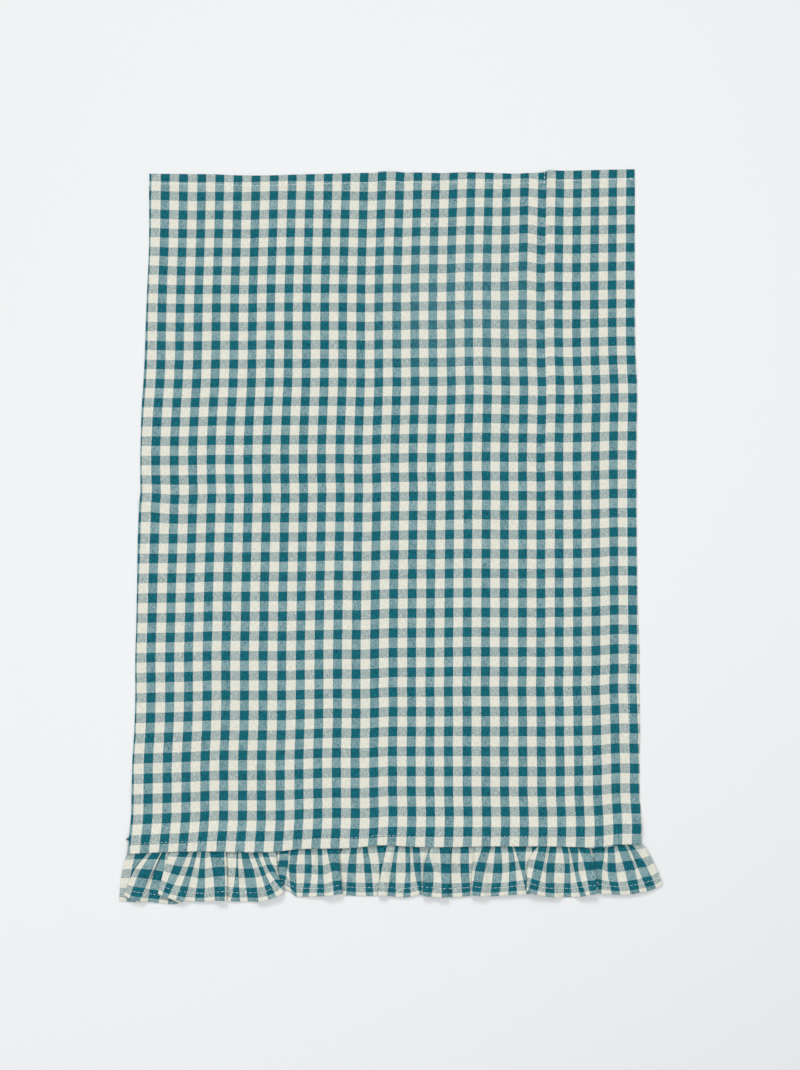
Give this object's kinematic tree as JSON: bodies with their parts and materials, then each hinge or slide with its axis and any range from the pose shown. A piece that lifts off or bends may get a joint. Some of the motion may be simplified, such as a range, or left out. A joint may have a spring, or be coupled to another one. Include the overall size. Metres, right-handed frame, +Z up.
{
  "type": "tea towel with a gathered ruffle, lying flat",
  "caption": "Cotton tea towel in teal and cream gingham, lying flat, with narrow turned hems and a gathered ruffle along its lower edge.",
  "frame": {"origin": "middle of the footprint, on the surface that the towel lies on", "axes": "+Y from the ruffle towards the plain top edge, +X to the right as seen from above, +Z up"},
  "size_m": [0.5146, 0.7101, 0.0061],
  "materials": {
    "towel_panel": "yarn-dyed teal and cream gingham, plain weave cotton, matt",
    "ruffle": "yarn-dyed teal and cream gingham, plain weave cotton, matt, gathered"
  },
  "bodies": {
    "root": {"towel_panel": "towel_panel", "ruffle": "ruffle"}
  },
  "joints": []
}
